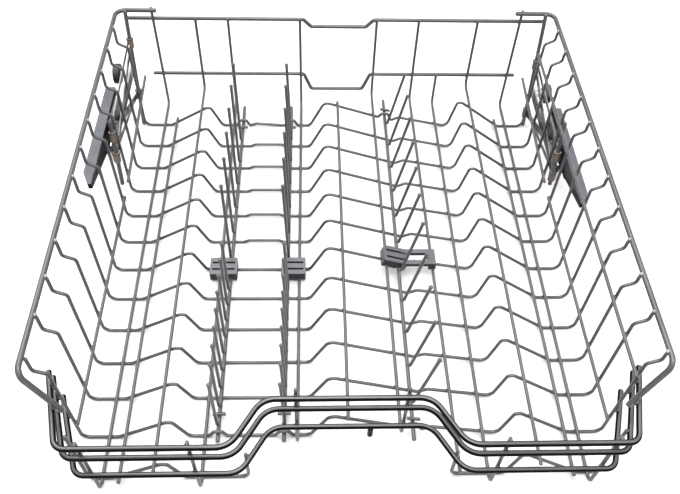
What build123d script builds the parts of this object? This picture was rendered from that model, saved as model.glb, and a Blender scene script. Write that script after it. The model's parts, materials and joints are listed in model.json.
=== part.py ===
from build123d import *
import os
from math import cos, hypot, radians, sin, sqrt

# Wire diameters over the coating, in millimetres
wire = 3.4
heavy_wire = 5.2
back_wire = 4.6
guide_wire = 4.8
tine_rod = 4.0
tine_tip = 4.4
tip_rounding = 0.3

# Gaps: at a weld, between parts that pass each other, and round a turning pin
weld = 0.1
running = 0.4
pin_play = 0.06

# Overall frame of the basket. Depths count from the first cross wire towards the back,
# heights from the axis of the floor wires, widths from the middle.
rim_half_width = 264.5
wall_inset = 14.0
rim_height = 150.0
pitch = 40.0
cross_wire_count = 12
front_reach = 56.5
recess_reach = 13.5
back_reach = 44.0

# Side walls: the jog out to the rim sits lower on the left than on the right
jog_drop_left = 28.0
jog_drop_right = 18.5
jog_rise = 6.0
wall_bend = 9.0
jog_bend = 5.0

# Floor line of a cross wire, from left to right. The outer feet of the ridges lie at an inset from the walls.
left_ridge_foot_inset = 34.5
left_ridge_x = -165.0
left_ridge_height = 29.0
left_ridge_inner_foot = -149.0
centre_ridge_foot = -33.7
centre_ridge_x = -14.8
centre_ridge_height = 39.5
notch_x = 72.8
notch_height = 9.5
notch_step_x = 82.8
notch_step_height = 14.5
notch_bend = 4.0
right_ridge_inner_foot = 148.5
right_ridge_x = 161.0
right_ridge_height = 40.0
right_ridge_foot_inset = 33.5
ridge_flat = 6.0
floor_bend = 8.0
ridge_bend = 3.5

# The rear cross wires bow up a little between the two left tine rows
bowed_from = 6
bow_height = 3.0
bow_x = -87.0
bow_half_width = 17.0
bow_slope = 6.0

# Front wires: height, middle of the set-back, and slant and length of the legs along the walls
front_heights = {"upper": 100.0, "middle": 81.5, "lower": 45.5}
recess_middle = {"upper": -1.0, "middle": 1.5, "lower": 4.0}
leg_slope = {"upper": 0.27, "middle": 0.31, "lower": 0.33}
leg_back = {"upper": 16.0, "middle": 21.0, "lower": 21.0}
recess_outer = 98.6
recess_inner = 73.0
recess_bend = 20.0
front_corner_bend = 11.0
foot_upright_top = 2.0
recess_upright_top = 9.0

# Short pin that hangs from the lowest front wire
front_pin = 5.4
front_pin_x = 22.0
front_pin_length = 16.0

# Back wires and the step down in their middle
back_upper_below_rim = 16.5
back_upper_inset = 7.5
back_upper_drop = 10.0
back_lower_height = 50.5
back_lower_inset = 27.0
back_lower_drop = 24.0
back_step_x = 2.0
back_step_inner = 34.0
back_step_slope = 9.5
back_bend = 4.0

# Rims
rim_return = 47.5
rim_rear_bend = 11.0
rim_front_bend = 10.0
rim_front_left = -16.0
rim_front_right = -12.0
rim_cross_y = -19.0
rim_end_reach = 0.12

# Lengthwise wires beside the walls: inset from the wall
outer_left_inset = 26.5
short_left_inset = 43.0
short_right_inset = 38.5
outer_right_inset = 24.0

# Worked-out widths of the walls
wall_half_width = rim_half_width - wall_inset
outer_left_x = outer_left_inset - wall_half_width
short_left_x = short_left_inset - wall_half_width
short_right_x = wall_half_width - short_right_inset
outer_right_x = wall_half_width - outer_right_inset

# Lengthwise wires: width at the front and at the back, and how the two ends are shaped.
# foot, recess: turns up behind the front wires; a number: straight end at that depth.
# high, low: turns up to the upper or lower back wire; rim: up to the rim; floor: ends on the floor.
foot_bend = 7.0
long_wires = {
    "outer_left": (outer_left_x, outer_left_x, "foot", "rim"),
    "short_left": (short_left_x, short_left_x, -50.0, "floor"),
    "ridge_left": (-173.0, -173.0, -49.0, "high"),
    "clip_left": (-133.5, -133.5, "foot", "high"),
    "clip_middle": (-45.5, -45.5, "recess", "high"),
    "ridge_centre": (2.0, 2.0, -4.0, "floor"),
    "clip_right": (52.5, 49.0, "recess", "high"),
    "arm_right": (105.0, 101.0, -45.0, "high"),
    "low_right": (132.5, 132.5, "foot", "low"),
    "ridge_right": (174.0, 174.0, -49.0, "high"),
    "short_right": (short_right_x, short_right_x, -48.0, "floor"),
    "outer_right": (outer_right_x, outer_right_x, "foot", "rim"),
}
wire_overhang = 4.0

# Short foot wires left and right of the front recess
foot_wire_y = -40.5
foot_wire_outer_top = 90.0
foot_wire_inner_top = 50.0

# Wires along the inside of the side walls: level ones, and a rising one behind them
side_lower_height = 33.0
side_lower_back = 281.0
side_upper_height = 115.0
side_rear_front = 303.0
side_rear_low = 34.0
side_rear_back = 476.0
side_rear_high = 52.0

# Tine rows: rod place along the floor line, lean of the tines to the right in degrees,
# and how far beside the rod's axis the tines are welded on
row_rod_x = {"left": -121.5, "middle": -58.5, "right": 64.5}
row_lean = {"left": 0.0, "middle": -1.5, "right": 11.0}
row_tine_offset = {"left": -1.5, "middle": 0.8, "right": 2.5}
rod_front = {"left": -9.0, "middle": -9.0, "right": -15.0}
rod_back = 472.0
tall_tine_top = 126.5
tall_tine_count = 6
tall_tine_first = 211.5
tall_tine_pitch = 39.0
short_tine_top = 86.0
short_tine_count = 9
short_tine_first = 9.0
right_tine_length = 84.0
right_tine_count = 11
right_tine_first = 25.0
stop_pin_length = 13.0
stop_pin_y = {"left": (18.6, 427.0), "middle": (18.6, 427.0), "right": (5.5, 448.0)}
saddle_top = 4.0
saddle_foot = 8.5
saddle_bend = 2.5

# Plastic clips that hold the tine rods at one cross wire
clip_wire_index = 5
clip_shift = {"left": -4.5, "middle": -4.5, "right": -0.5}
clip_depth = {"left": 23.0, "middle": 23.0, "right": 21.0}
clip_wire_overhang = {"left": 11.0, "middle": 7.0, "right": 7.0}
clip_rod_overhang = 7.0
clip_height = 13.0
clip_corner = 1.5
clip_groove = 2.6
clip_groove_depth = 4.5
clip_groove_pitch = 9.0
clip_groove_end = 2.5
arm_width = 5.5
arm_thickness = 4.5
hook_front = 5.0
hook_wall = 0.9

# Height adjusters: guide rods, and the sliding carriage with rollers and lever on each side.
# Their heights hang from the rim and from the roller axles.
guide_offset = 2.7
front_guide_wire_index = 8
front_guide_below_rim = 33.0
front_guide_bottom = 32.0
rear_guide_bottom = -1.0
adjuster_travel = 25.0
collar_outer = 8.0
collar_bore = 5.5
collar_length = 12.0
collar_below_rim = {"rear_upper": 38.0, "rear_lower": 107.0, "front_upper": 53.0, "front_lower": 80.0}
brace_gap = 0.5
brace_thickness = 1.2
brace_width = 8.0
brace_spacing = 0.2
rivet = 7.0
axle_below_rim = 79.0
axle_front = 318.0
axle_rear = 456.0
axle = 6.0
axle_shoulder = 10.0
rail_thickness = 2.0
rail_width = 14.0
rail_end = 11.0
pivot_plate_front = 42.0
pivot_plate_back = 9.0
pivot_plate_top = 32.0
roller = 25.0
roller_width = 8.0
roller_side_gap = 0.3
roller_edge = 0.75
roller_cap = 9.0
roller_cap_thickness = 1.5
lever_gap = 0.3
lever_width = 11.0
lever_wall = 2.0
lever_front = 230.0
lever_taper = 307.0
lever_back = 385.0
lever_top = 37.0
lever_bottom = 11.0
lever_tip = 7.0
lever_pivot = 5.0
lever_pivot_y = 374.0
lever_pivot_rise = 21.0
spring_wire = 1.6
spring_coil = 8.6
spring_turns = 2
spring_leg = 36.0
spring_leg_rise = 6.0

# Worked-out depths
last_wire_y = (cross_wire_count - 1) * pitch
back_y = last_wire_y + back_reach
front_clear = (heavy_wire + wire) / 2 + weld
upright_front_y = front_clear - front_reach
upright_recess_y = front_clear - recess_reach
upright_back_y = back_y - (back_wire + wire) / 2 - weld
rim_back_y = upright_back_y - front_clear
middle_y = (back_y + back_wire / 2 - front_reach - heavy_wire / 2) / 2

# Worked-out widths
side_wire_x = wall_half_width - wire - weld
recess_slope = (recess_outer - recess_inner) / (front_reach - recess_reach)

# Worked-out heights
back_upper_height = rim_height - back_upper_below_rim
axle_height = rim_height - axle_below_rim
pivot_height = axle_height + lever_pivot_rise

# Guide rods: parallel and leaning back towards the top. The rear ones are welded to the rims, the front
# ones to a wall, and the sleeves pass the walls over their whole travel.
guide_x = wall_half_width + guide_offset
guide_clear = sqrt(((guide_wire + wire) / 2 + weld) ** 2 - guide_offset ** 2)
guide_top_y = rim_back_y - (heavy_wire + guide_wire) / 2 - 2 * weld
lowest_collar = rim_height - collar_below_rim["rear_lower"] - adjuster_travel - collar_length / 2
collar_clear = sqrt(((collar_outer + wire) / 2 + running) ** 2 - guide_offset ** 2)
guide_slope = (guide_top_y - last_wire_y - collar_clear) / (rim_height - lowest_collar)
front_guide_y = front_guide_wire_index * pitch - guide_clear
front_guide_top = rim_height - front_guide_below_rim

nodes = {}


def place(x, y, height):
    """Point from width, depth behind the first cross wire and height above the floor wires' axis."""
    return Vector(x, y - middle_y, height + wire / 2)


def bent_wire(points, bends, diameter):
    """Round wire through the points, bent at each inner one, with eased ends."""
    corners = [place(*point) for point in points]
    if len(corners) == 2:
        path = Line(*corners)
    else:
        path = FilletPolyline(*corners, radius=bends)
    section = Plane(path @ 0, z_dir=path % 0) * Circle(diameter / 2)
    solid = sweep(section, path=path)
    ends = (path @ 0, path @ 1)
    rings = [edge for edge in solid.edges().filter_by(GeomType.CIRCLE)
             if min((edge.arc_center - end).length for end in ends) < weld]
    return fillet(rings, tip_rounding * diameter)


def straight_rod(start, end, diameter):
    """Plain round rod between two points."""
    axis = end - start
    upwards = (Align.CENTER, Align.CENTER, Align.MIN)
    return Plane(start, z_dir=axis) * Cylinder(diameter / 2, axis.length, align=upwards)


def box_between(low, high):
    """Box between two opposite corners given as width, depth and height."""
    start = place(*low)
    end = place(*high)
    size = end - start
    return Pos(*((start + end) / 2)) * Box(abs(size.X), abs(size.Y), abs(size.Z))


# Floor line shared by the cross wires and by everything that lies on them
floor_line = [
    (-wall_half_width, 0.0, wall_bend),
    (left_ridge_foot_inset - wall_half_width, 0.0, floor_bend),
    (left_ridge_x - ridge_flat / 2, left_ridge_height, ridge_bend),
    (left_ridge_x + ridge_flat / 2, left_ridge_height, ridge_bend),
    (left_ridge_inner_foot, 0.0, floor_bend),
    (centre_ridge_foot, 0.0, floor_bend),
    (centre_ridge_x, centre_ridge_height, floor_bend),
    (notch_x, notch_height, notch_bend),
    (notch_step_x, notch_step_height, notch_bend),
    (right_ridge_inner_foot, 0.0, floor_bend),
    (right_ridge_x - ridge_flat / 2, right_ridge_height, ridge_bend),
    (right_ridge_x + ridge_flat / 2, right_ridge_height, ridge_bend),
    (wall_half_width - right_ridge_foot_inset, 0.0, floor_bend),
    (wall_half_width, 0.0, wall_bend),
]


def floor_run(x):
    """Height and slope of the floor line at a width."""
    for (x0, h0, _), (x1, h1, _) in zip(floor_line, floor_line[1:]):
        if x0 <= x <= x1:
            slope = (h1 - h0) / (x1 - x0)
            return h0 + slope * (x - x0), slope
    raise ValueError("width outside the basket")


def seat_height(x, diameter, gap):
    """Height of the axis of a lengthwise wire that lies on the cross wires."""
    height, slope = floor_run(x)
    return height + ((wire + diameter) / 2 + gap) * hypot(1, slope)


row_rod_height = {row: seat_height(x, tine_rod, running) for row, x in row_rod_x.items()}


def saddle(row):
    """Hump of an end cross wire over a tine rod, which keeps the rod down."""
    x = row_rod_x[row]
    top = row_rod_height[row] + (tine_rod + wire) / 2 + running
    points = [(x - saddle_foot, floor_run(x - saddle_foot)[0], saddle_bend)]
    points.append((x - saddle_top, top, saddle_bend))
    points.append((x + saddle_top, top, saddle_bend))
    points.append((x + saddle_foot, floor_run(x + saddle_foot)[0], saddle_bend))
    return points


def bow():
    """Slight rise of a rear cross wire between the left tine rows."""
    outer = bow_half_width + bow_slope
    return [
        (bow_x - outer, 0.0, ridge_bend),
        (bow_x - bow_half_width, bow_height, ridge_bend),
        (bow_x + bow_half_width, bow_height, ridge_bend),
        (bow_x + outer, 0.0, ridge_bend),
    ]


def wall(side, jog_drop):
    """Side wall of a cross wire from the floor up to the underside of the rim. Side is -1 left or 1 right."""
    end_x = rim_half_width - heavy_wire / 2
    rounding = tip_rounding * wire
    beside = rim_half_width - end_x - (wire / 2 - rounding)
    end_height = rim_height + rounding - sqrt((heavy_wire / 2 + weld + rounding) ** 2 - beside ** 2)
    jog_height = rim_height - jog_drop
    return [
        (side * wall_half_width, jog_height, jog_bend),
        (side * end_x, jog_height + jog_rise, jog_bend),
        (side * end_x, end_height, 0),
    ]


def cross_wire(index):
    """One wire of the walls and floor, from the left rim to the right rim."""
    line = list(floor_line)
    if index >= bowed_from:
        line += bow()
    if index in (0, cross_wire_count - 1):
        for row in row_rod_x:
            line += saddle(row)
            reach = saddle_foot + wire
            line = [p for p in line if p in saddle(row) or abs(p[0] - row_rod_x[row]) > reach]
    line.sort()
    shape = wall(-1, jog_drop_left)[::-1] + line + wall(1, jog_drop_right)
    y = index * pitch
    return bent_wire([(x, y, h) for x, h, _ in shape], [bend for _, _, bend in shape[1:-1]], wire)


for index in range(cross_wire_count):
    nodes[f"cross_wire_{index + 1:02d}"] = cross_wire(index)


# Lengthwise floor wires
def long_x(name, y):
    """Width of a lengthwise wire at a depth."""
    front_x, back_x, _, _ = long_wires[name]
    return front_x + (back_x - front_x) * (y - upright_front_y) / (upright_back_y - upright_front_y)


def long_wire(name):
    """Wire along the floor that turns up where the front or back wires carry it."""
    _, _, front, back = long_wires[name]
    fronts = {"foot": (upright_front_y, foot_upright_top), "recess": (upright_recess_y, recess_upright_top)}
    backs = {"high": back_upper_height + wire, "low": back_lower_height + wire, "rim": rim_height + wire / 2}
    if front in fronts:
        front_y, above = fronts[front]
        start = [(long_x(name, front_y), front_y, front_heights["upper"] + above)]
    else:
        front_y = front
        start = []
    if back in backs:
        back_end = upright_back_y
        end = [(long_x(name, back_end), back_end, backs[back])]
    else:
        back_end = last_wire_y + wire_overhang
        end = []
    floor = [(long_x(name, y), y, seat_height(long_x(name, y), wire, weld)) for y in (front_y, back_end)]
    return bent_wire(start + floor + end, foot_bend, wire)


for index, name in enumerate(long_wires):
    nodes[f"long_wire_{index + 1:02d}"] = long_wire(name)


# Front wires with their slanting legs along the side walls
def leg_x(name, y):
    """Distance of a front wire's leg from the middle at a depth."""
    slope = leg_slope[name]
    return wall_half_width + front_clear * hypot(1, slope) + slope * y


def front_wire(name):
    """Heavy wire round the front, set back in the middle: a straight middle length and two sides."""
    height = front_heights[name]
    shift = recess_middle[name]
    back = leg_back[name]
    leg = [(leg_x(name, back), back, 0), (leg_x(name, -front_reach), -front_reach, front_corner_bend)]
    recess = [(recess_outer, -front_reach, recess_bend), (recess_inner, -recess_reach, recess_bend)]
    shape = [(-x, y, bend) for x, y, bend in leg]
    shape += [(shift - x, y, bend) for x, y, bend in recess]
    shape += [(shift + x, y, bend) for x, y, bend in recess[::-1]]
    shape += leg[::-1]
    whole = bent_wire([(x, y, height) for x, y, _ in shape], [bend for _, _, bend in shape[1:-1]], heavy_wire)
    run = recess_inner - recess_bend * (hypot(1, recess_slope) - recess_slope)
    middle = box_between(
        (shift - run, -recess_reach - heavy_wire, height - heavy_wire),
        (shift + run, -recess_reach + heavy_wire, height + heavy_wire))
    return Compound(children=[whole & middle, *(whole - middle).solids()])


for name in front_heights:
    nodes[f"front_wire_{name}"] = front_wire(name)

pin_top = front_heights["lower"] - heavy_wire / 2 - weld
pin_bottom = pin_top - front_pin_length
pin_line = [(front_pin_x, -recess_reach, pin_top), (front_pin_x, -recess_reach, pin_bottom)]
pin = bent_wire(pin_line, [], front_pin)
nodes["front_wire_lower"] = Compound(children=[*nodes["front_wire_lower"].solids(), pin])


# Foot wires beside the recess
def foot_wire(side):
    """Short cross wire under the front edge, turned up at both ends against the lowest front wire."""
    inner_foot = {-1: left_ridge_inner_foot, 1: right_ridge_inner_foot}[side]
    line = [point for point in floor_line if side * inner_foot <= side * point[0] < wall_half_width]
    line.sort(key=lambda point: side * point[0])
    recess_edge = recess_outer - recess_slope * (front_reach + foot_wire_y)
    beside_recess = recess_edge + front_clear * hypot(1, recess_slope)
    inner_x = recess_middle["lower"] + side * beside_recess
    outer_x = side * (leg_x("lower", foot_wire_y) - front_clear * hypot(1, leg_slope["lower"]))
    shape = [(inner_x, foot_wire_inner_top, 0), (inner_x, 0.0, floor_bend)]
    shape += line
    shape += [(outer_x, 0.0, floor_bend), (outer_x, foot_wire_outer_top, 0)]
    points = [(x, foot_wire_y, h) for x, h, _ in shape]
    return bent_wire(points, [bend for _, _, bend in shape[1:-1]], wire)


nodes["front_foot_wire_left"] = foot_wire(-1)
nodes["front_foot_wire_right"] = foot_wire(1)


# Side wall wires
def side_wire(side, start, end):
    """Straight wire welded along the inside of a side wall, between two depths and heights."""
    x = side * side_wire_x
    return bent_wire([(x, *start), (x, *end)], [], wire)


for side, name in ((-1, "left"), (1, "right")):
    nodes[f"side_wire_lower_{name}"] = side_wire(
        side, (-wire_overhang, side_lower_height), (side_lower_back, side_lower_height))
    nodes[f"side_wire_rear_{name}"] = side_wire(
        side, (side_rear_front, side_rear_low), (side_rear_back, side_rear_high))
nodes["side_wire_upper_right"] = side_wire(
    1, (-wire_overhang, side_upper_height), (last_wire_y + wire_overhang, side_upper_height))


# Back wires
def back_rail(height, half_width, drop):
    """Heavy wire across the back with a step down in its middle."""
    outer = back_step_inner + back_step_slope
    line = [
        (-half_width, height),
        (back_step_x - outer, height),
        (back_step_x - back_step_inner, height - drop),
        (back_step_x + back_step_inner, height - drop),
        (back_step_x + outer, height),
        (half_width, height),
    ]
    return bent_wire([(x, back_y, h) for x, h in line], back_bend, back_wire)


nodes["back_wire_upper"] = back_rail(back_upper_height, rim_half_width - back_upper_inset, back_upper_drop)
nodes["back_wire_lower"] = back_rail(back_lower_height, rim_half_width - back_lower_inset, back_lower_drop)


# Rims
def rim(side, front_y):
    """Heavy top wire of one side, turned in at the back and down to the front wires."""
    drop = rim_height - front_heights["upper"]
    beside_leg = leg_x("upper", rim_cross_y)
    tilt = (rim_half_width - beside_leg + heavy_wire) / drop
    cross_x = beside_leg - (heavy_wire + weld) * hypot(1, tilt) * hypot(1, leg_slope["upper"])
    reach = 1 + rim_end_reach
    end_x = rim_half_width + (cross_x - rim_half_width) * reach
    end_y = front_y + (rim_cross_y - front_y) * reach
    points = [
        (side * (rim_half_width - rim_return), rim_back_y, rim_height),
        (side * rim_half_width, rim_back_y, rim_height),
        (side * rim_half_width, front_y, rim_height),
        (side * end_x, end_y, rim_height - drop * reach),
    ]
    return bent_wire(points, [rim_rear_bend, rim_front_bend], heavy_wire)


nodes["rim_left"] = rim(-1, rim_front_left)
nodes["rim_right"] = rim(1, rim_front_right)


# Folding tine rows
def tine_frame(row, y):
    """Place on a tine rod's axis, with its Z along the tines and its X to the right across the rod."""
    lean = radians(row_lean[row])
    origin = place(row_rod_x[row], y, row_rod_height[row])
    return Plane(origin, x_dir=(cos(lean), 0, -sin(lean)), z_dir=(sin(lean), 0, cos(lean)))


def tine(row, y, length):
    """One tine, butt-welded on its rod, with a swollen coated tip."""
    frame = tine_frame(row, y)
    offset = row_tine_offset[row]
    beside = max(0.0, abs(offset) - wire / 2)
    foot = sqrt((tine_rod / 2) ** 2 - beside ** 2) + weld / 2
    start = frame.from_local_coords((offset, 0, foot))
    end = frame.from_local_coords((offset, 0, length - tine_tip / 2))
    return straight_rod(start, end, wire) + Pos(*end) * Sphere(tine_tip / 2)


def tine_places(row):
    """Depth and length of each tine of a row."""
    if row == "right":
        return [(right_tine_first + pitch * k, right_tine_length) for k in range(right_tine_count)]
    foot = row_rod_height[row]
    tall = [(tall_tine_first + tall_tine_pitch * k, tall_tine_top - foot) for k in range(tall_tine_count)]
    short = [(short_tine_first + pitch / 2 * k, short_tine_top - foot) for k in range(short_tine_count)]
    return short + tall


def stop_pin(row, y):
    """Short cross pin on top of a tine rod, near its end."""
    frame = tine_frame(row, y)
    over = (tine_rod + wire) / 2 + weld / 2
    left = frame.from_local_coords((-stop_pin_length / 2, 0, over))
    right = frame.from_local_coords((stop_pin_length / 2, 0, over))
    return straight_rod(left, right, wire)


def tine_row(row):
    """Rod, tines and stop pins of one folding row."""
    x = row_rod_x[row]
    height = row_rod_height[row]
    solids = [bent_wire([(x, rod_front[row], height), (x, rod_back, height)], [], tine_rod)]
    solids += [tine(row, y, length) for y, length in tine_places(row)]
    solids += [stop_pin(row, y) for y in stop_pin_y[row]]
    return Compound(children=solids)


for row in row_rod_x:
    nodes[f"tine_row_{row}"] = tine_row(row)


# Clips that hold the tine rods
def channel(frame, offset, height, diameter):
    """Snap channel through a clip for a wire, open at the clip's underside."""
    round_part = frame * Pos(offset, 0, height) * Rot(90, 0, 0) * Cylinder(diameter / 2, pitch)
    mouth = frame * Pos(offset, 0, height - diameter) * Box(diameter, pitch, 2 * diameter)
    return round_part + mouth


def clip(row):
    """Snap block over one floor wire and one tine rod, seated on a cross wire."""
    middle_depth = clip_wire_index * pitch + clip_shift[row]
    depth = clip_depth[row]
    rod_x = row_rod_x[row]
    wire_x = long_x(f"clip_{row}", middle_depth)
    middle = (rod_x + wire_x) / 2
    floor_height, slope = floor_run(middle)
    frame = Plane(place(middle, middle_depth, floor_height), x_dir=(1, 0, slope), z_dir=(-slope, 0, 1))
    half = abs(rod_x - wire_x) / 2 * hypot(1, slope)
    side = 1 if wire_x > rod_x else -1
    over_wire = clip_wire_overhang[row]
    length = 2 * half + over_wire + clip_rod_overhang
    shift = side * (over_wire - clip_rod_overhang) / 2
    base = wire / 2 + running / 2
    block = Box(length, depth, clip_height - base)
    block = fillet(block.edges().filter_by(Axis.Z), clip_corner)
    for y in (-clip_groove_pitch / 2, clip_groove_pitch / 2):
        cut = Box(length - 2 * clip_groove_end, clip_groove, 2 * clip_groove_depth)
        block -= Pos(0, y, (clip_height - base) / 2) * cut
    block = frame * Pos(shift, 0, (base + clip_height) / 2) * block
    wire_height = wire + weld
    rod_height = (wire + tine_rod) / 2 + running
    block -= channel(frame, side * half + wire_height * slope, wire_height, wire + 4 * weld)
    block -= channel(frame, -side * half + rod_height * slope, rod_height, tine_rod + 2 * running)
    return block


def clip_arms():
    """Two arms of the right clip that reach to the next floor wire and hook over it."""
    middle_depth = clip_wire_index * pitch + clip_shift["right"]
    front = middle_depth - clip_depth["right"] / 2
    back = middle_depth + clip_depth["right"] / 2
    wire_x = long_x("arm_right", middle_depth)
    hook_height = seat_height(wire_x, wire, weld)
    groove = wire + 4 * weld
    start_x = row_rod_x["right"] + clip_rod_overhang / 2
    bottom = row_rod_height["right"] + tine_rod / 2 + running
    top = bottom + arm_thickness
    end_x = wire_x + groove / 2 + hook_wall
    shape = box_between((wire_x - hook_front, front, hook_height), (end_x, back, top))
    for y in (front, back - arm_width):
        shape += box_between((start_x, y, bottom), (wire_x - hook_front + weld, y + arm_width, top))
    return shape - straight_rod(
        place(wire_x, front - pitch, hook_height), place(wire_x, back + pitch, hook_height), groove)


for row in row_rod_x:
    nodes[f"tine_clip_{row}"] = clip(row)
nodes["tine_clip_right"] += clip_arms()


# Guide rods of the height adjusters
def guide_point(side, where, height):
    """Point on the axis of a side's front or rear guide rod at a height."""
    if where == "rear":
        return place(side * guide_x, guide_top_y + guide_slope * (height - rim_height), height)
    return place(side * guide_x, front_guide_y + guide_slope * (height - front_guide_top), height)


def guide_rod(side, where):
    """Guide rod welded to the wall or the rim."""
    bottom, top = {
        "rear": (rear_guide_bottom, rim_height + heavy_wire / 2),
        "front": (front_guide_bottom, front_guide_top),
    }[where]
    rod = straight_rod(guide_point(side, where, bottom), guide_point(side, where, top), guide_wire)
    return fillet(rod.edges().filter_by(GeomType.CIRCLE), tip_rounding * guide_wire)


# Widths of the carriage's layers outside the wall
guide_axis = Vector(0, guide_slope, 1).normalized()
brace_inner_x = wall_half_width + wire / 2 + brace_gap
rail_inner_x = guide_x + collar_outer / 2 + brace_spacing
rail_outer_x = rail_inner_x + rail_thickness
lever_inner_x = rail_outer_x + lever_gap
lever_outer_x = lever_inner_x + lever_width
roller_x = lever_outer_x + running


def adjuster_shift(side):
    """The right carriage stands one step lower than the left one."""
    return Vector(0, 0, 0) if side < 0 else guide_axis * (-adjuster_travel / guide_axis.Z)


def collar_centre(side, name):
    """Middle of one sleeve of a carriage that stands at the top."""
    return guide_point(side, name.split("_")[0], rim_height - collar_below_rim[name])


def collars(side):
    """Sliding sleeves of a carriage on its two guide rods."""
    sleeves = []
    for name in collar_below_rim:
        frame = Plane(collar_centre(side, name), z_dir=guide_axis)
        bore = Cylinder(collar_bore / 2, 2 * collar_length)
        sleeve = frame * (Cylinder(collar_outer / 2, collar_length) - bore)
        sleeves.append(Pos(*adjuster_shift(side)) * sleeve)
    return Compound(children=sleeves)


def brace(side, start, end, inner_x):
    """Flat bar of the cross brace between two sleeves."""
    a = collar_centre(side, start)
    b = collar_centre(side, end)
    along = (b - a).normalized()
    across = Vector(0, guide_axis.Z, -guide_axis.Y)
    short = collar_outer / 2 + weld + brace_width / 2 * abs(along.dot(guide_axis))
    short /= abs(along.dot(across))
    a = a + along * short
    b = b - along * short
    x = side * (inner_x + brace_thickness / 2)
    frame = Plane(Vector(x, (a.Y + b.Y) / 2, (a.Z + b.Z) / 2), x_dir=along, z_dir=(1, 0, 0))
    return frame * Box((b - a).length, brace_width, brace_thickness)


def brace_crossing(side):
    """Depth and height where the two bars of the brace cross."""
    a = collar_centre(side, "rear_upper")
    b = collar_centre(side, "front_lower")
    c = collar_centre(side, "rear_lower")
    d = collar_centre(side, "front_upper")
    slope_ab = (b.Z - a.Z) / (b.Y - a.Y)
    slope_cd = (d.Z - c.Z) / (d.Y - c.Y)
    y = (c.Z - a.Z + slope_ab * a.Y - slope_cd * c.Y) / (slope_ab - slope_cd)
    return y, a.Z + slope_ab * (y - a.Y)


def cross_pin(side, start_x, end_x, y, height, diameter):
    """Round pin along the width between two distances from the middle."""
    return straight_rod(place(side * start_x, y, height), place(side * end_x, y, height), diameter)


def carriage(side):
    """Cross brace, rail, roller axles and lever pivot of one height adjuster."""
    shape = brace(side, "rear_upper", "front_lower", brace_inner_x)
    shape += brace(side, "rear_lower", "front_upper", brace_inner_x + brace_thickness + brace_spacing)
    y, z = brace_crossing(side)
    shape += straight_rod(Vector(side * brace_inner_x, y, z), Vector(side * rail_outer_x, y, z), rivet)
    rail_bottom = axle_height - rail_width / 2
    shape += box_between(
        (side * rail_inner_x, axle_front - rail_end, rail_bottom),
        (side * rail_outer_x, axle_rear + rail_end, rail_bottom + rail_width))
    shape += box_between(
        (side * rail_inner_x, lever_pivot_y - pivot_plate_front, rail_bottom),
        (side * rail_outer_x, lever_pivot_y + pivot_plate_back, axle_height + pivot_plate_top))
    pivot_end = lever_outer_x - lever_wall / 2
    shape += cross_pin(side, rail_inner_x, pivot_end, lever_pivot_y, pivot_height, lever_pivot)
    cap_x = roller_x + roller_width + 2 * roller_side_gap
    for y in (axle_front, axle_rear):
        shape += cross_pin(side, rail_inner_x, roller_x, y, axle_height, axle_shoulder)
        shape += cross_pin(side, rail_inner_x, cap_x, y, axle_height, axle)
        shape += cross_pin(side, cap_x, cap_x + roller_cap_thickness, y, axle_height, roller_cap)
    return Pos(*adjuster_shift(side)) * shape


def roller_wheel(side, y):
    """Roller that runs in the appliance's rail."""
    start = roller_x + roller_side_gap
    end = start + roller_width
    shape = cross_pin(side, start, end, y, axle_height, roller)
    shape = fillet(shape.edges().filter_by(GeomType.CIRCLE), roller_edge)
    shape -= cross_pin(side, start - roller_width, end + roller_width, y, axle_height, axle + 2 * pin_play)
    return Pos(*adjuster_shift(side)) * shape


def lever(side):
    """Channel-shaped lever that frees the carriage, tapered to the front and hinged near its back end."""
    top = axle_height + lever_top
    bottom = axle_height + lever_bottom
    outline = [
        (lever_back, bottom),
        (lever_back, top),
        (lever_front, top),
        (lever_front, top - lever_tip),
        (lever_taper, bottom),
    ]
    corners = [place(side * lever_inner_x, y, height) for y, height in outline]
    shape = extrude(make_face(Polyline(*corners, close=True)), amount=lever_width, dir=(side, 0, 0))
    shape -= box_between(
        (side * (lever_inner_x + lever_wall), lever_front + lever_wall, bottom - lever_wall),
        (side * (lever_outer_x - lever_wall), lever_back - lever_wall, top - lever_wall))
    bore = lever_pivot + 2 * pin_play
    bore_end = lever_outer_x - lever_wall / 2 + running
    shape -= cross_pin(side, rail_inner_x, bore_end, lever_pivot_y, pivot_height, bore)
    return Pos(*adjuster_shift(side)) * shape


def lever_spring(side):
    """Torsion spring round the lever pivot, with one leg under the lever's roof."""
    turn = spring_wire + weld
    first = lever_inner_x + lever_wall + running + spring_wire / 2
    coil = (spring_coil - spring_wire) / 2
    solids = []
    for k in range(spring_turns):
        centre = place(side * (first + turn * k), lever_pivot_y, pivot_height)
        solids.append(Plane(centre, z_dir=(1, 0, 0)) * Torus(coil, spring_wire / 2))
    x = side * (first + turn * spring_turns)
    top = pivot_height + coil
    leg_end = place(x, lever_pivot_y - spring_leg, top + spring_leg_rise)
    solids.append(straight_rod(place(x, lever_pivot_y, top), leg_end, spring_wire))
    return Pos(*adjuster_shift(side)) * Compound(children=solids)


for side, name in ((-1, "left"), (1, "right")):
    nodes[f"guide_rod_rear_{name}"] = guide_rod(side, "rear")
    nodes[f"guide_rod_front_{name}"] = guide_rod(side, "front")
    nodes[f"adjuster_collars_{name}"] = collars(side)
    nodes[f"adjuster_carriage_{name}"] = carriage(side)
    nodes[f"adjuster_lever_{name}"] = lever(side)
    nodes[f"lever_spring_{name}"] = lever_spring(side)
    nodes[f"roller_front_{name}"] = roller_wheel(side, axle_front)
    nodes[f"roller_rear_{name}"] = roller_wheel(side, axle_rear)

os.makedirs("parts", exist_ok=True)
for name, shape in nodes.items():
    export_step(shape, f"parts/{name}.step")
print(len(nodes), "nodes written")
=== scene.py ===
import json
import math

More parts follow.
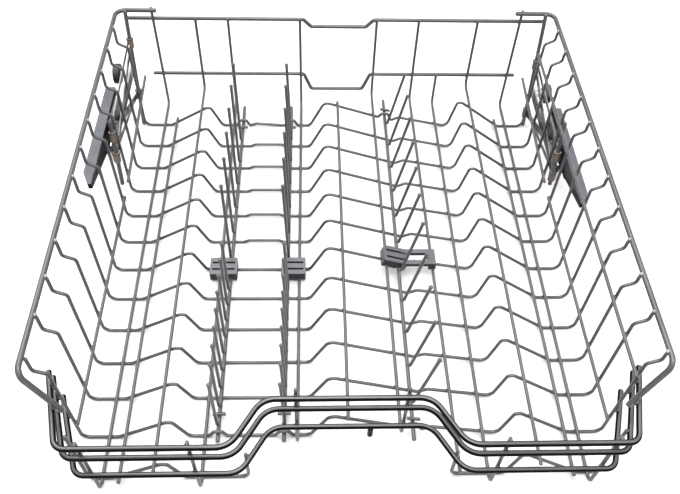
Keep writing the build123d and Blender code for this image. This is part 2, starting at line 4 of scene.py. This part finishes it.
import bmesh
import bpy
from mathutils import Matrix, Vector
from mathutils.bvhtree import BVHTree

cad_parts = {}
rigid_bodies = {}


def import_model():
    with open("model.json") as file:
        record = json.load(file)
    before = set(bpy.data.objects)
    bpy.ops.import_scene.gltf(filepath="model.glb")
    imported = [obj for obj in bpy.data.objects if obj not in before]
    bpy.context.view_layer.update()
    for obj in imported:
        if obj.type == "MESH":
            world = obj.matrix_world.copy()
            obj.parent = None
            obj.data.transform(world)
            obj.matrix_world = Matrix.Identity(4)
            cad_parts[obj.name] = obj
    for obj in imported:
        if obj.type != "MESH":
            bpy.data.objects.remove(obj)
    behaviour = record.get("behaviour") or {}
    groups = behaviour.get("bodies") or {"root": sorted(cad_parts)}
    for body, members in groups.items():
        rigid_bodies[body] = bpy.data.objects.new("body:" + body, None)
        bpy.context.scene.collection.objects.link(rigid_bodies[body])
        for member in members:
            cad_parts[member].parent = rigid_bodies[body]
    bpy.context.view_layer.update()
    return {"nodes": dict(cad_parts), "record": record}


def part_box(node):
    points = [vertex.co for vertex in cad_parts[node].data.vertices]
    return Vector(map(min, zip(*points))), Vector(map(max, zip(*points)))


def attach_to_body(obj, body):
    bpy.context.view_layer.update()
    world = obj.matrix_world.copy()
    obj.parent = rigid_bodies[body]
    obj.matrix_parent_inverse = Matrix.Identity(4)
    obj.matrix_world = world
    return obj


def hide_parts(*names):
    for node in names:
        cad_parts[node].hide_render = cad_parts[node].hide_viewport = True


for leftover in list(bpy.data.objects):
    bpy.data.objects.remove(leftover)

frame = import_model()
nodes = frame["nodes"]
record = frame["record"]

SIDES = ("left", "right")
SIDEWAYS = Vector((1.0, 0.0, 0.0))

# Sizes of the added details, in metres
WELD_GAP = 0.00025
WELD = 0.0023
HEAVY_WELD = 0.0031
RIM_WELD = 0.0019
RIM_WELD_IN = 0.0010
RIM_WELD_UP = 0.0026
TINE_WELD = 0.0024
COLLAR_RADIUS = 0.004
COLLAR_BEAD = 0.0007
HUB_RING = 0.0085
HUB_BEAD = 0.0005
STRIP_WIDTH = 0.0056
STRIP_THICKNESS = 0.0012
STRIP_CHAMFER = 0.0003
STRIP_INSET = 0.00095
STRIP_SHORT = 0.0024
BEAK_LENGTH = 0.016
MERGE = 1e-6

# Beak: share of the lever's width that is left at its tip, and the angle of a sharp edge
BEAK_WIDTH = 0.35
SHARP_ANGLE = 0.6

# Fineness of the added meshes, and of the search for contacts
BALL_SEGMENTS, BALL_RINGS = 12, 7
RING_SEGMENTS, RING_SECTION = 28, 8
SEARCH_STEPS = 14


# Materials
class Shader:
    """Small helper that builds one procedural material."""

    def __init__(self, name):
        self.material = bpy.data.materials.new(name)
        self.material.use_nodes = True
        self.tree = self.material.node_tree
        self.surface = self.tree.nodes["Principled BSDF"]
        self.place = self.tree.nodes.new("ShaderNodeTexCoord").outputs["Object"]

    def add(self, kind, **inputs):
        """Adds a node and sets its named inputs."""
        node = self.tree.nodes.new(kind)
        for key, value in inputs.items():
            node.inputs[key.replace("_", " ")].default_value = value
        return node

    def noise(self, scale, detail=3.0, stretch=(1.0, 1.0, 1.0)):
        """Noise over the object's own coordinates."""
        mapping = self.add("ShaderNodeMapping", Scale=stretch)
        node = self.add("ShaderNodeTexNoise", Scale=scale, Detail=detail)
        self.tree.links.new(self.place, mapping.inputs["Vector"])
        self.tree.links.new(mapping.outputs["Vector"], node.inputs["Vector"])
        return node.outputs["Fac"]

    def slant(self, axis):
        """How far the surface faces along an axis, from -1 to 1."""
        normal = self.tree.nodes.new("ShaderNodeNewGeometry").outputs["Normal"]
        parts = self.tree.nodes.new("ShaderNodeSeparateXYZ")
        self.tree.links.new(normal, parts.inputs["Vector"])
        return parts.outputs[axis]

    def upward(self):
        """How far the surface faces up, from -1 to 1."""
        return self.slant("Z")

    def sideways(self):
        """How far the surface faces left or right, from 0 to 1."""
        node = self.tree.nodes.new("ShaderNodeMath")
        node.operation = "ABSOLUTE"
        self.tree.links.new(self.slant("X"), node.inputs[0])
        return node.outputs["Value"]

    def ramp(self, value, low, high, start=0.35, end=0.65):
        """Blends two colours by a value."""
        node = self.tree.nodes.new("ShaderNodeValToRGB")
        first, last = node.color_ramp.elements
        first.position, first.color = start, low
        last.position, last.color = end, high
        self.tree.links.new(value, node.inputs["Fac"])
        return node.outputs["Color"]

    def mix(self, value, first, second):
        """Mixes two colours, each a plain colour or a node's output, by a value."""
        node = self.tree.nodes.new("ShaderNodeMix")
        node.data_type = "RGBA"
        self.tree.links.new(value, node.inputs["Factor"])
        for socket, colour in ((node.inputs[6], first), (node.inputs[7], second)):
            if isinstance(colour, bpy.types.NodeSocket):
                self.tree.links.new(colour, socket)
            else:
                socket.default_value = colour
        return node.outputs[2]

    def spread(self, value, low, high, start=0.0, end=1.0):
        """Maps a value that runs from start to end to one that runs from low to high."""
        limits = {"From_Min": start, "From_Max": end, "To_Min": low, "To_Max": high}
        node = self.add("ShaderNodeMapRange", **limits)
        self.tree.links.new(value, node.inputs["Value"])
        return node.outputs["Result"]

    def set(self, socket, value):
        """Links a node output to the surface, or sets a plain number."""
        if isinstance(value, bpy.types.NodeSocket):
            self.tree.links.new(value, self.surface.inputs[socket])
        else:
            self.surface.inputs[socket].default_value = value

    def bump(self, value, strength, distance):
        """Fine relief from a value."""
        node = self.add("ShaderNodeBump", Strength=strength, Distance=distance)
        self.tree.links.new(value, node.inputs["Height"])
        self.set("Normal", node.outputs["Normal"])


def coated(name, low, high, under, turn, rough, side_gloss):
    """Plastic-coated wire with soft gloss and a faint mottle; between two upward slants its
    colour turns to a painted shade towards its lower side, where its gloss and coat also weaken.
    """
    shader = Shader(name)
    mottle = shader.ramp(shader.noise(scale=26.0), low, high)
    # Painted shade: the colour darkens as the surface turns from up towards down, between the two
    # given slants
    painted_light_mask = shader.spread(shader.upward(), 0.0, 1.0, *turn)
    sheen = shader.noise(scale=90.0)
    shader.set("Base Color", shader.mix(painted_light_mask, under, mottle))
    shader.set("Roughness", shader.spread(sheen, rough - 0.05, rough + 0.07))
    shader.set("Specular IOR Level", shader.spread(painted_light_mask, side_gloss, 0.55))
    shader.set("Coat Weight", shader.spread(painted_light_mask, 0.0, 0.4))
    shader.set("Coat Roughness", 0.12)
    shader.bump(shader.noise(scale=420.0, detail=2.0), strength=0.12, distance=0.0004)
    return shader.material


def moulded(name, low, high, rough, grain, sides=None):
    """Moulded plastic with a fine grain; its side faces can carry a painted shade, darker and
    less glossy than its top.
    """
    shader = Shader(name)
    colour = shader.ramp(shader.noise(scale=38.0), low, high)
    if sides:
        # Painted shade: the colour darkens as the surface turns from up towards the side
        painted_light_mask = shader.spread(shader.upward(), 0.0, 1.0, start=0.1, end=0.7)
        colour = shader.mix(painted_light_mask, sides, colour)
        shader.set("Specular IOR Level", shader.spread(painted_light_mask, 0.04, 0.5))
    sheen = shader.noise(scale=140.0)
    shader.set("Base Color", colour)
    shader.set("Roughness", shader.spread(sheen, rough - 0.06, rough + 0.06))
    shader.bump(shader.noise(scale=grain, detail=2.0), strength=0.15, distance=0.0003)
    return shader.material


def steel(name, low, high, rough, worn, grime):
    """Steel strip: bright scratched edges, and darker faces where the surface faces sideways,
    with patches of grime.
    """
    shader = Shader(name)
    scratches = shader.noise(scale=160.0, detail=2.0, stretch=(1.0, 0.06, 1.0))
    patches = shader.spread(shader.noise(scale=60.0), 0.0, 1.0, start=0.36, end=0.64)
    edges = shader.spread(shader.sideways(), 1.0, 0.0, start=0.55, end=0.95)
    face = shader.mix(patches, grime, worn)
    shader.set("Base Color", shader.mix(edges, face, shader.ramp(scratches, low, high)))
    shader.set("Metallic", shader.spread(edges, 0.3, 1.0))
    shader.set("Roughness", shader.spread(scratches, rough - 0.06, rough + 0.12))
    shader.bump(scratches, strength=0.08, distance=0.0002)
    return shader.material


# Wires, the front wires with a deeper painted shade on their lower side, and the rim welds, whose
# lighter colour is a painted glint; each coat's colour below its upward turn is painted shade
coats = {
    "coated_wire": {
        "low": (0.054, 0.053, 0.059, 1), "high": (0.077, 0.076, 0.083, 1),
        "under": (0.028, 0.027, 0.031, 1), "turn": (-0.6, 0.8),
        "rough": 0.30, "side_gloss": 0.15},
    "heavy_coat": {
        "low": (0.074, 0.071, 0.079, 1), "high": (0.100, 0.097, 0.106, 1),
        "under": (0.004, 0.003, 0.004, 1), "turn": (0.80, 1.02),
        "rough": 0.20, "side_gloss": 0.03},
    "weld_coat": {
        "low": (0.22, 0.22, 0.235, 1), "high": (0.34, 0.34, 0.36, 1),
        "under": (0.05, 0.05, 0.055, 1), "turn": (-0.4, 0.8),
        "rough": 0.18, "side_gloss": 0.3},
}
# Where a plastic has a darker colour for its side faces, it is painted shade
plastics = {
    "clip_plastic": {
        "low": (0.092, 0.091, 0.099, 1), "high": (0.118, 0.117, 0.127, 1),
        "sides": (0.040, 0.040, 0.044, 1), "rough": 0.38, "grain": 500.0},
    "lever_plastic": {
        "low": (0.086, 0.091, 0.102, 1), "high": (0.108, 0.114, 0.127, 1),
        "sides": (0.006, 0.005, 0.006, 1), "rough": 0.42, "grain": 450.0},
    "collar_plastic": {
        "low": (0.20, 0.17, 0.145, 1), "high": (0.36, 0.32, 0.28, 1),
        "sides": (0.12, 0.098, 0.082, 1), "rough": 0.32, "grain": 500.0},
    "collar_lip": {
        "low": (0.018, 0.011, 0.008, 1), "high": (0.032, 0.021, 0.015, 1),
        "rough": 0.35, "grain": 500.0},
    "roller_plastic": {
        "low": (0.016, 0.017, 0.019, 1), "high": (0.030, 0.031, 0.034, 1),
        "sides": (0.012, 0.012, 0.013, 1), "rough": 0.38, "grain": 450.0},
}
steels = {
    "brace_steel": {
        "low": (0.44, 0.44, 0.45, 1), "high": (0.60, 0.59, 0.58, 1),
        "worn": (0.060, 0.057, 0.055, 1), "grime": (0.014, 0.011, 0.010, 1), "rough": 0.30},
    "spring_steel": {
        "low": (0.37, 0.37, 0.38, 1), "high": (0.46, 0.46, 0.47, 1),
        "worn": (0.30, 0.30, 0.31, 1), "grime": (0.16, 0.15, 0.14, 1), "rough": 0.26},
}
materials = {}
for make, finishes in ((coated, coats), (moulded, plastics), (steel, steels)):
    for name, values in finishes.items():
        materials[name] = make(name, **values)

slot_of = {part["node"]: part["material_slot"] for part in record["subparts"]}
for name, piece in nodes.items():
    # The front wires take a copy of the wire coat with a deeper painted shade on their lower side
    finish = "heavy_coat" if name.startswith("front_wire") else slot_of[name]
    piece.data.materials.clear()
    piece.data.materials.append(materials[finish])


# Shapes of the CAD nodes, for finding where they meet
def mesh_of(name):
    """Copy of a node's mesh in the part's frame."""
    mesh = bmesh.new()
    mesh.from_mesh(nodes[name].data)
    mesh.transform(nodes[name].matrix_world)
    return mesh


def joined_mesh_of(name):
    """Copy of a node's mesh with the corners of neighbouring faces joined."""
    mesh = mesh_of(name)
    bmesh.ops.remove_doubles(mesh, verts=mesh.verts, dist=MERGE)
    return mesh


def solids(name):
    """Separate solids of a node, each a list of corners and a list of faces."""
    mesh = joined_mesh_of(name)
    seen = set()
    found = []
    for seed in mesh.verts:
        if seed in seen:
            continue
        seen.add(seed)
        group = [seed]
        for vert in group:
            for edge in vert.link_edges:
                other = edge.other_vert(vert)
                if other not in seen:
                    seen.add(other)
                    group.append(other)
        places = {vert: i for i, vert in enumerate(group)}
        faces = dict.fromkeys(face for vert in group for face in vert.link_faces)
        corners = [vert.co.copy() for vert in group]
        found.append((corners, [[places[vert] for vert in face.verts] for face in faces]))
    mesh.free()
    return found


def tree_of(name):
    """Nearest-point tree of a whole node."""
    mesh = mesh_of(name)
    tree = BVHTree.FromBMesh(mesh)
    mesh.free()
    return tree


def middle_of(corners):
    """Middle of the box round some corners."""
    return Vector((min(c[i] for c in corners) + max(c[i] for c in corners)) / 2 for i in range(3))


def depth_of(corners):
    """Length from front to back of the box round some corners."""
    return max(c.y for c in corners) - min(c.y for c in corners)


def closest(first, second, start):
    """Place between two trees where they come closest near a start, and the gap there."""
    b = start
    for _ in range(SEARCH_STEPS):
        a = first.find_nearest(b)[0]
        b = second.find_nearest(a)[0]
    return (a + b) / 2, (a - b).length


# Pieces added to the CAD
def attach(name, data, body):
    """Puts a mesh in the scene as a piece that rides on a body."""
    piece = bpy.data.objects.new(name, data)
    bpy.context.scene.collection.objects.link(piece)
    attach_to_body(piece, body)
    return piece


def add_piece(name, verts, faces, material, body, smooth=True):
    """Mesh piece made of corners and faces."""
    mesh = bpy.data.meshes.new(name)
    mesh.from_pydata(verts, [], faces)
    mesh.validate()
    mesh.polygons.foreach_set("use_smooth", [smooth] * len(mesh.polygons))
    mesh.materials.append(materials[material])
    attach(name, mesh, body)


def unit_ball():
    """Corners and faces of a ball with a radius of one."""
    mesh = bmesh.new()
    bmesh.ops.create_uvsphere(mesh, u_segments=BALL_SEGMENTS, v_segments=BALL_RINGS, radius=1.0)
    mesh.verts.index_update()
    corners = [vert.co.copy() for vert in mesh.verts]
    faces = [[vert.index for vert in face.verts] for face in mesh.faces]
    mesh.free()
    return corners, faces


def swellings(name, places, material, body):
    """One mesh of small smooth swellings, each a place and a radius."""
    corners, ball_faces = unit_ball()
    verts, faces = [], []
    for place, radius in places:
        first = len(verts)
        verts += [place + corner * radius for corner in corners]
        faces += [[first + i for i in face] for face in ball_faces]
    add_piece(name, verts, faces, material, body)


def beads(name, circles, bead, material, body):
    """One mesh of rings, each a centre, an axis and a radius."""
    verts, faces = [], []
    for centre, axis, radius in circles:
        first = len(verts)
        turn_to = axis.to_track_quat("Z", "Y")
        for i in range(RING_SEGMENTS):
            turn = 2 * math.pi * i / RING_SEGMENTS
            for j in range(RING_SECTION):
                angle = 2 * math.pi * j / RING_SECTION
                out = radius + bead * math.cos(angle)
                lift = bead * math.sin(angle)
                offset = Vector((out * math.cos(turn), out * math.sin(turn), lift))
                verts.append(centre + turn_to @ offset)
        for i in range(RING_SEGMENTS):
            here = first + i * RING_SECTION
            after = first + (i + 1) % RING_SEGMENTS * RING_SECTION
            for j in range(RING_SECTION):
                k = (j + 1) % RING_SECTION
                faces.append((here + j, after + j, after + k, here + k))
    add_piece(name, verts, faces, material, body)


def strips(name, lines, material, body):
    """One mesh of flat bars on edge with chamfered corners, each from a start to an end."""
    wide, thick = STRIP_WIDTH / 2, STRIP_THICKNESS / 2
    quarter = [(thick, wide - STRIP_CHAMFER), (thick - STRIP_CHAMFER, wide)]
    outline = quarter + [(-x, y) for x, y in reversed(quarter)]
    outline += [(-x, -y) for x, y in outline]
    count = len(outline)
    verts, faces = [], []
    for start, end in lines:
        along = (end - start).normalized()
        rise = along.cross(SIDEWAYS)
        near = list(range(len(verts), len(verts) + count))
        far = [i + count for i in near]
        for place in (start + along * STRIP_SHORT, end - along * STRIP_SHORT):
            verts += [place + SIDEWAYS * x + rise * y for x, y in outline]
        faces += [near[::-1], far]
        for i in range(count):
            j = (i + 1) % count
            faces.append((near[i], near[j], far[j], far[i]))
    add_piece(name, verts, faces, material, body, smooth=False)


# Welds between the fixed wires
moving = ("tine_row", "adjuster", "lever", "roller", "tine_clip")
wires = sorted(name for name in nodes if not name.startswith(moving))
heavy = ("front_wire", "back_wire", "rim", "guide_rod")
trees = {name: tree_of(name) for name in wires}
boxes = {name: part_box(name) for name in wires}

welds, rim_welds = [], []
for i, first in enumerate(wires):
    for second in wires[i + 1:]:
        low = Vector(max(a, b) - WELD_GAP for a, b in zip(boxes[first][0], boxes[second][0]))
        high = Vector(min(a, b) + WELD_GAP for a, b in zip(boxes[first][1], boxes[second][1]))
        if any(a > b for a, b in zip(low, high)):
            continue
        places = []
        for start in (low, (low + high) / 2, high):
            place, gap = closest(trees[first], trees[second], start)
            if gap < WELD_GAP and all((place - other).length > WELD for other in places):
                places.append(place)
        for place in places:
            if "rim" in first + second and "cross_wire" in first + second:
                rim_welds.append(place)
            elif first.startswith(heavy) and second.startswith(heavy):
                welds.append((place, HEAVY_WELD))
            else:
                welds.append((place, WELD))
swellings("welds", welds, "coated_wire", "basket")

# Welds below the rims swell out at the rim's inner side, where they catch the light; their
# lighter colour is a painted glint
glints = []
for place in rim_welds:
    inward = -math.copysign(RIM_WELD_IN, place.x)
    glints.append((place + Vector((inward, 0.0, RIM_WELD_UP)), RIM_WELD))
swellings("rim_welds", glints, "weld_coat", "basket")

# Welds at the feet of the tines, where they meet the longest solid of the row, its rod
for row in ("left", "middle", "right"):
    groups = solids(f"tine_row_{row}")
    groups.sort(key=lambda group: depth_of(group[0]), reverse=True)
    rod = BVHTree.FromPolygons(*groups[0])
    feet = []
    for corners, faces in groups[1:]:
        tine = BVHTree.FromPolygons(corners, faces)
        place, gap = closest(rod, tine, middle_of(corners))
        if gap < WELD_GAP:
            feet.append((place, TINE_WELD))
    swellings(f"tine_welds_{row}", feet, "coated_wire", f"tine_row_{row}")


# Height adjusters
def sleeve_details(side):
    """Dark upper lips of the sleeves, and strips from the front sleeves to the rear ones."""
    node, body = f"adjuster_collars_{side}", f"adjuster_{side}"
    axis = joint_axis[f"height_slide_{side}"].normalized()
    lips, middles = [], []
    for corners, _ in solids(node):
        centre = middle_of(corners)
        half = max((corner - centre).dot(axis) for corner in corners)
        middles.append(centre)
        lips.append((centre + axis * (half - COLLAR_BEAD), axis, COLLAR_RADIUS))
    beads(f"collar_lips_{side}", lips, COLLAR_BEAD, "collar_lip", body)

    low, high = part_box(node)
    x = low.x + STRIP_INSET if side == "left" else high.x - STRIP_INSET
    middles.sort(key=lambda middle: middle.y)
    ties = []
    for pick in (min, max):
        ends = [pick(pair, key=lambda middle: middle.z) for pair in (middles[:2], middles[2:])]
        ties.append([Vector((x, end.y, end.z)) for end in ends])
    strips(f"sleeve_strips_{side}", ties, "brace_steel", body)


def roller_ring(name, side):
    """Ring on the outer face of a roller."""
    low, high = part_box(name)
    centre = (low + high) / 2
    centre.x = low.x if side == "left" else high.x
    ring = (centre, SIDEWAYS, HUB_RING)
    beads(f"{name}_ring", [ring], HUB_BEAD, "roller_plastic", name)


def beaked_lever(side):
    """Lever whose tip narrows to a beak from its outer side."""
    node, name = f"adjuster_lever_{side}", f"beaked_lever_{side}"
    low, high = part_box(node)
    inner = high.x if side == "left" else low.x
    start = low.y + BEAK_LENGTH
    mesh = joined_mesh_of(node)
    whole = mesh.verts[:] + mesh.edges[:] + mesh.faces[:]
    bmesh.ops.bisect_plane(
        mesh, geom=whole, plane_co=(0.0, start, 0.0), plane_no=(0.0, 1.0, 0.0))
    for vert in mesh.verts:
        along = max(0.0, start - vert.co.y) / BEAK_LENGTH
        vert.co.x = inner + (vert.co.x - inner) * (1.0 - along * (1.0 - BEAK_WIDTH))
    data = bpy.data.meshes.new(name)
    mesh.to_mesh(data)
    mesh.free()
    data.polygons.foreach_set("use_smooth", [True] * len(data.polygons))
    data.set_sharp_from_angle(angle=SHARP_ANGLE)
    data.materials.clear()
    data.materials.append(materials["lever_plastic"])
    lever = attach(name, data, f"lever_{side}")
    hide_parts(node)


joint_axis = {joint["name"]: Vector(joint["axis"]) for joint in record["behaviour"]["joints"]}
for side in SIDES:
    sleeve_details(side)
    for where in ("front", "rear"):
        roller_ring(f"roller_{where}_{side}", side)
for side in SIDES:
    beaked_lever(side)

# Floor
FLOOR_SIZE = 80.0
FLOOR_LOW = (0.79, 0.79, 0.79, 1)
FLOOR_HIGH = (0.82, 0.82, 0.82, 1)

bpy.ops.mesh.primitive_plane_add(size=FLOOR_SIZE, location=(0.0, 0.0, 0.0))
floor = bpy.context.object
floor.name = "floor"
floor_shader = Shader("floor")
pale = floor_shader.ramp(floor_shader.noise(scale=0.6), FLOOR_LOW, FLOOR_HIGH)
floor_shader.set("Base Color", pale)
floor_shader.set("Roughness", 0.8)
floor_shader.set("Specular IOR Level", 0.1)
floor.data.materials.append(floor_shader.material)

# Light: a studio that is bright overhead and darker towards the horizon
HORIZON_AT, HORIZON = 0.05, (0.26, 0.26, 0.27, 1.0)
ZENITH_AT, ZENITH = 0.85, (1.0, 1.0, 1.0, 1.0)
SKY_STRENGTH = 1.35

world = bpy.data.worlds.new("studio")
bpy.context.scene.world = world
world.use_nodes = True
sky = world.node_tree
direction = sky.nodes.new("ShaderNodeTexCoord").outputs["Generated"]
split = sky.nodes.new("ShaderNodeSeparateXYZ")
sky.links.new(direction, split.inputs["Vector"])
shade = sky.nodes.new("ShaderNodeValToRGB")
lowest, highest = shade.color_ramp.elements
lowest.position, lowest.color = HORIZON_AT, HORIZON
highest.position, highest.color = ZENITH_AT, ZENITH
sky.links.new(split.outputs["Z"], shade.inputs["Fac"])
background = sky.nodes["Background"]
sky.links.new(shade.outputs["Color"], background.inputs["Color"])
background.inputs["Strength"].default_value = SKY_STRENGTH


def area_light(name, location, target, size, power):
    """Square soft light aimed at a point."""
    lamp = bpy.data.lights.new(name, "AREA")
    lamp.energy = power
    lamp.size = size
    holder = bpy.data.objects.new(name, lamp)
    holder.location = location
    aim = Vector(target) - Vector(location)
    holder.rotation_euler = aim.to_track_quat("-Z", "Y").to_euler()
    bpy.context.scene.collection.objects.link(holder)


area_light("key", (-0.5, 0.8, 1.9), target=(0.0, 0.0, 0.05), size=1.6, power=30.0)
area_light("fill", (0.9, -0.9, 1.6), target=(0.0, 0.0, 0.05), size=1.6, power=13.0)
area_light("rear_fill", (0.0, -0.3, 1.1), target=(0.0, 0.3, 0.1), size=0.5, power=7.0)
bpy.context.scene.view_settings.view_transform = "Standard"

# Camera at the photograph's angle: place in metres, turns in radians, lens in millimetres
CAMERA_PLACE = Vector((-0.031229, -0.527153, 0.682925))
CAMERA_YAW = 0.0592332
CAMERA_PITCH = 0.8945521
CAMERA_ROLL = -0.0440908
CAMERA_LENS = 39.82
CAMERA_SENSOR = 36.0
CAMERA_NEAR = 0.01

heading = Vector((math.sin(CAMERA_YAW), math.cos(CAMERA_YAW), 0.0))
level = Vector((math.cos(CAMERA_YAW), -math.sin(CAMERA_YAW), 0.0))
ahead = heading * math.cos(CAMERA_PITCH) - Vector((0.0, 0.0, math.sin(CAMERA_PITCH)))
down = ahead.cross(level)
right = level * math.cos(CAMERA_ROLL) + down * math.sin(CAMERA_ROLL)
below = down * math.cos(CAMERA_ROLL) - level * math.sin(CAMERA_ROLL)
turned = Matrix((right, -below, -ahead)).transposed().to_4x4()

lens = bpy.data.cameras.new("camera")
lens.lens = CAMERA_LENS
lens.sensor_width = CAMERA_SENSOR
lens.clip_start = CAMERA_NEAR
camera = bpy.data.objects.new("camera", lens)
camera.matrix_world = Matrix.Translation(CAMERA_PLACE) @ turned
bpy.context.scene.collection.objects.link(camera)
bpy.context.scene.camera = camera
